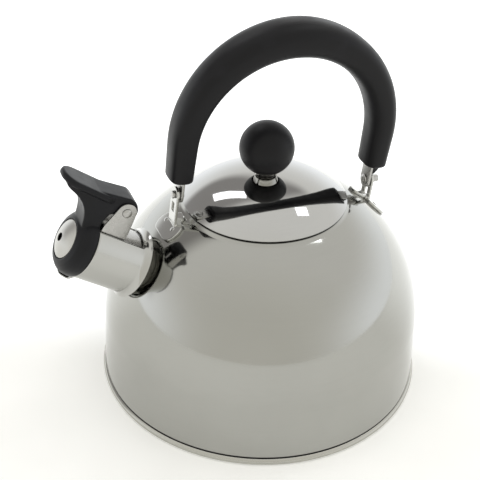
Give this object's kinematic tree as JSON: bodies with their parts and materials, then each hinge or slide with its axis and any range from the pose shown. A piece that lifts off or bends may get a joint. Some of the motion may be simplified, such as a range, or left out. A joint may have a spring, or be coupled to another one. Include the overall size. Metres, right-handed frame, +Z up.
{
  "type": "stovetop whistling kettle",
  "caption": "Polished steel stovetop kettle with a domed body, lift-off lid, arched folding handle and a short spout closed by a flip-up whistle cap.",
  "frame": {"origin": "centre of the flat resting face under the base", "axes": "+Z up; the spout points towards -X; the handle's arch lies in the XZ plane; Y is across"},
  "size_m": [0.2164, 0.19, 0.2185],
  "materials": {
    "polished_steel": "mirror polished stainless steel",
    "satin_steel": "fine satin stainless steel",
    "base_aluminium": "lightly turned aluminium",
    "spring_wire": "drawn spring wire",
    "black_phenolic": "satin black moulded heat-proof plastic"
  },
  "bodies": {
    "kettle": {"body_shell": "polished_steel", "base_pan": "polished_steel", "heat_disc": "base_aluminium", "spout_neck": "polished_steel", "spout_sleeve": "polished_steel", "hinge_saddle": "satin_steel", "lever_pin": "satin_steel", "lever_spring": "spring_wire", "front_bracket": "polished_steel", "rear_bracket": "polished_steel", "front_pivot_rivet": "satin_steel", "rear_pivot_rivet": "satin_steel", "front_pivot_washer": "satin_steel", "rear_pivot_washer": "satin_steel"},
    "lid": {"lid_shell": "polished_steel", "lid_skirt": "satin_steel", "knob_collar": "polished_steel", "knob_ball": "black_phenolic", "knob_screw": "satin_steel", "knob_lock_washer": "satin_steel"},
    "handle": {"handle_grip": "black_phenolic", "handle_core": "satin_steel"},
    "whistle_cap": {"cap_lever": "black_phenolic", "whistle_outer_disc": "polished_steel", "whistle_inner_disc": "satin_steel"}
  },
  "joints": [
    {"name": "handle_fold", "type": "hinge", "parent": "kettle", "child": "handle", "pos_m": [0.0065, 0, 0.12029], "axis": [0.9936, 0, -0.1132], "range_deg": [-85, 85]},
    {"name": "lid_lift", "type": "slide", "parent": "kettle", "child": "lid", "axis": [0, 0, 1], "range_m": [0, 0.012]},
    {"name": "cap_flip", "type": "hinge", "parent": "kettle", "child": "whistle_cap", "pos_m": [-0.08226, 0, 0.12644], "axis": [0, 1, 0], "range_deg": [0, 60], "stiffness_Nm_per_rad": 0.02, "springref_deg": -22.92}
  ]
}
